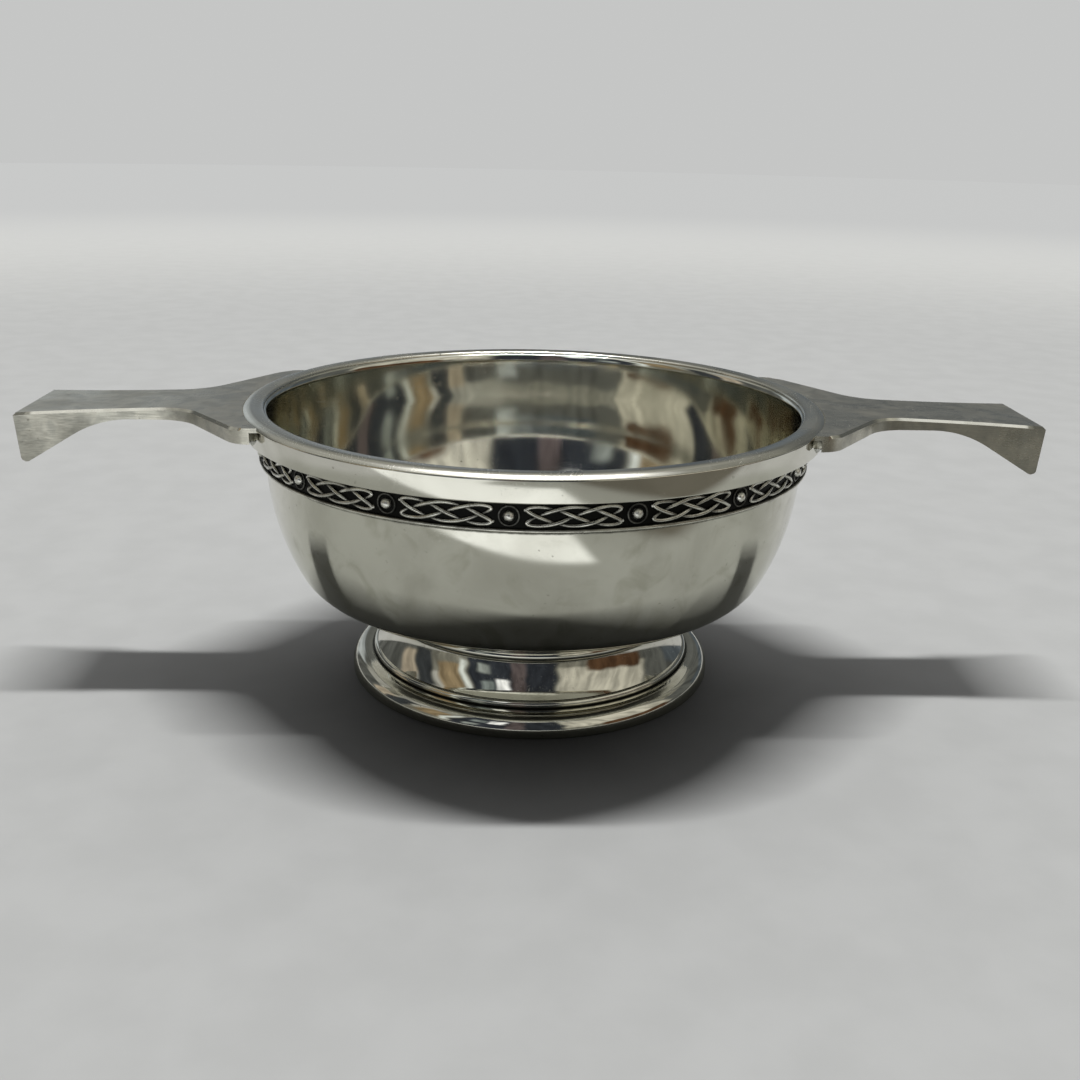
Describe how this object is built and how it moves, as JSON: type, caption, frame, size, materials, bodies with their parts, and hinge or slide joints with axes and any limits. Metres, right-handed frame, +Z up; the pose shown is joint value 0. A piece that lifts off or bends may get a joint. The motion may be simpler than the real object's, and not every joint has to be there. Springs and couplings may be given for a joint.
{
  "type": "quaich",
  "caption": "Shallow footed drinking bowl of polished pewter with flat winged lugs, a knotwork band under the rim and a spread ring foot, for sharing a drink.",
  "frame": {"origin": "on the table, under the bowl's axis, level with the bottom of the foot", "axes": "+Z up along the bowl's axis, +X along the right lug, -Y to the pictured front"},
  "size_m": [0.2094, 0.12, 0.0596],
  "materials": {
    "polished_pewter": "polished",
    "satin_pewter": "satin",
    "oxidised_pewter": "oxidised in the hollows",
    "solder": "satin"
  },
  "bodies": {
    "root": {"bowl": "polished_pewter", "rim_wire": "polished_pewter", "collar": "polished_pewter", "knot_band": "oxidised_pewter", "border_wire": "polished_pewter", "left_lug": "satin_pewter", "right_lug": "satin_pewter", "foot": "polished_pewter", "left_lug_solder": "solder", "right_lug_solder": "solder", "foot_solder": "solder"}
  },
  "joints": []
}
